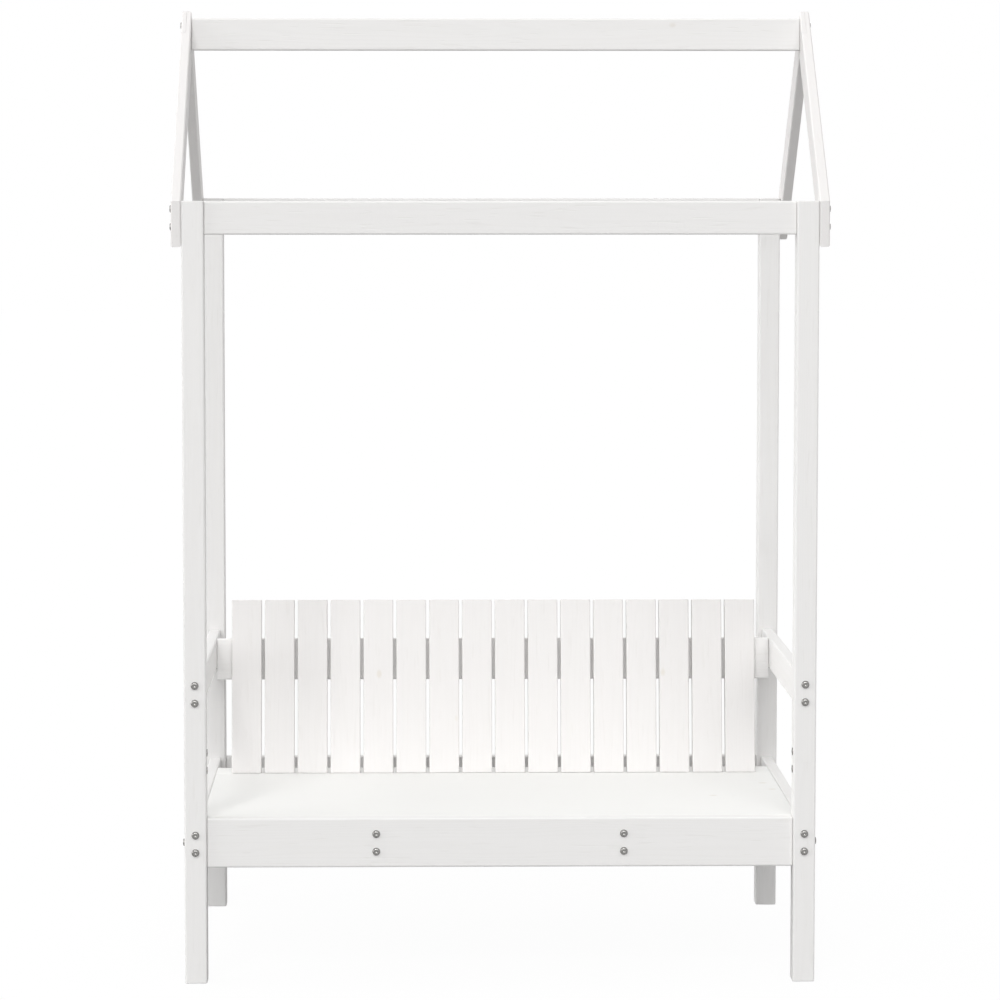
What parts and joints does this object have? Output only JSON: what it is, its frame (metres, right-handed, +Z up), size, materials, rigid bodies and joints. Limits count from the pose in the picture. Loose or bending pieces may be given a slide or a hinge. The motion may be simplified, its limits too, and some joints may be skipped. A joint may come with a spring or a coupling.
{
  "type": "arbour seat",
  "caption": "Two-seat garden arbour seat in white-painted softwood: a low seat with a raked slatted back and arm rails, under an open pitched roof frame on corner posts.",
  "frame": {"origin": "on the ground, under the middle of the seat's plan", "axes": "+Z up, -Y towards the front of the seat, +X to the right as seen from the front"},
  "size_m": [1.1766, 0.7134, 1.765],
  "materials": {
    "painted_wood": "satin white paint over planed pine, faint grain",
    "bare_wood": "planed, unpainted",
    "plated_steel": "bright zinc plate"
  },
  "bodies": {
    "root": {"front_left_leg": "painted_wood", "front_right_leg": "painted_wood", "back_left_leg": "painted_wood", "back_right_leg": "painted_wood", "front_left_post": "painted_wood", "front_right_post": "painted_wood", "back_left_post": "painted_wood", "back_right_post": "painted_wood", "front_left_splice_tongue": "bare_wood", "front_right_splice_tongue": "bare_wood", "back_left_splice_tongue": "bare_wood", "back_right_splice_tongue": "bare_wood", "front_apron": "painted_wood", "back_apron": "painted_wood", "front_top_rail": "painted_wood", "back_top_rail": "painted_wood", "left_seat_rail": "painted_wood", "right_seat_rail": "painted_wood", "left_arm_rail": "painted_wood", "right_arm_rail": "painted_wood", "left_seat_bearer": "painted_wood", "right_seat_bearer": "painted_wood", "left_seat_cleat": "painted_wood", "right_seat_cleat": "painted_wood", "seat_panel": "painted_wood", "back_foot_board": "painted_wood", "back_beam": "painted_wood", "back_slat_01": "painted_wood", "back_slat_02": "painted_wood", "back_slat_03": "painted_wood", "back_slat_04": "painted_wood", "back_slat_05": "painted_wood", "back_slat_06": "painted_wood", "back_slat_07": "painted_wood", "back_slat_08": "painted_wood", "back_slat_09": "painted_wood", "back_slat_10": "painted_wood", "back_slat_11": "painted_wood", "back_slat_12": "painted_wood", "back_slat_13": "painted_wood", "back_slat_14": "painted_wood", "back_slat_15": "painted_wood", "back_slat_16": "painted_wood", "front_left_rafter": "painted_wood", "back_left_rafter": "painted_wood", "front_right_rafter": "painted_wood", "back_right_rafter": "painted_wood", "ridge_beam": "painted_wood", "front_left_arm_bolt_1": "plated_steel", "front_left_arm_bolt_2": "plated_steel", "front_right_arm_bolt_1": "plated_steel", "front_right_arm_bolt_2": "plated_steel", "back_left_arm_bolt_1": "plated_steel", "back_left_arm_bolt_2": "plated_steel", "back_right_arm_bolt_1": "plated_steel", "back_right_arm_bolt_2": "plated_steel", "front_left_apron_bolt": "plated_steel", "front_right_apron_bolt": "plated_steel", "back_left_apron_bolt": "plated_steel", "back_right_apron_bolt": "plated_steel"}
  },
  "joints": []
}
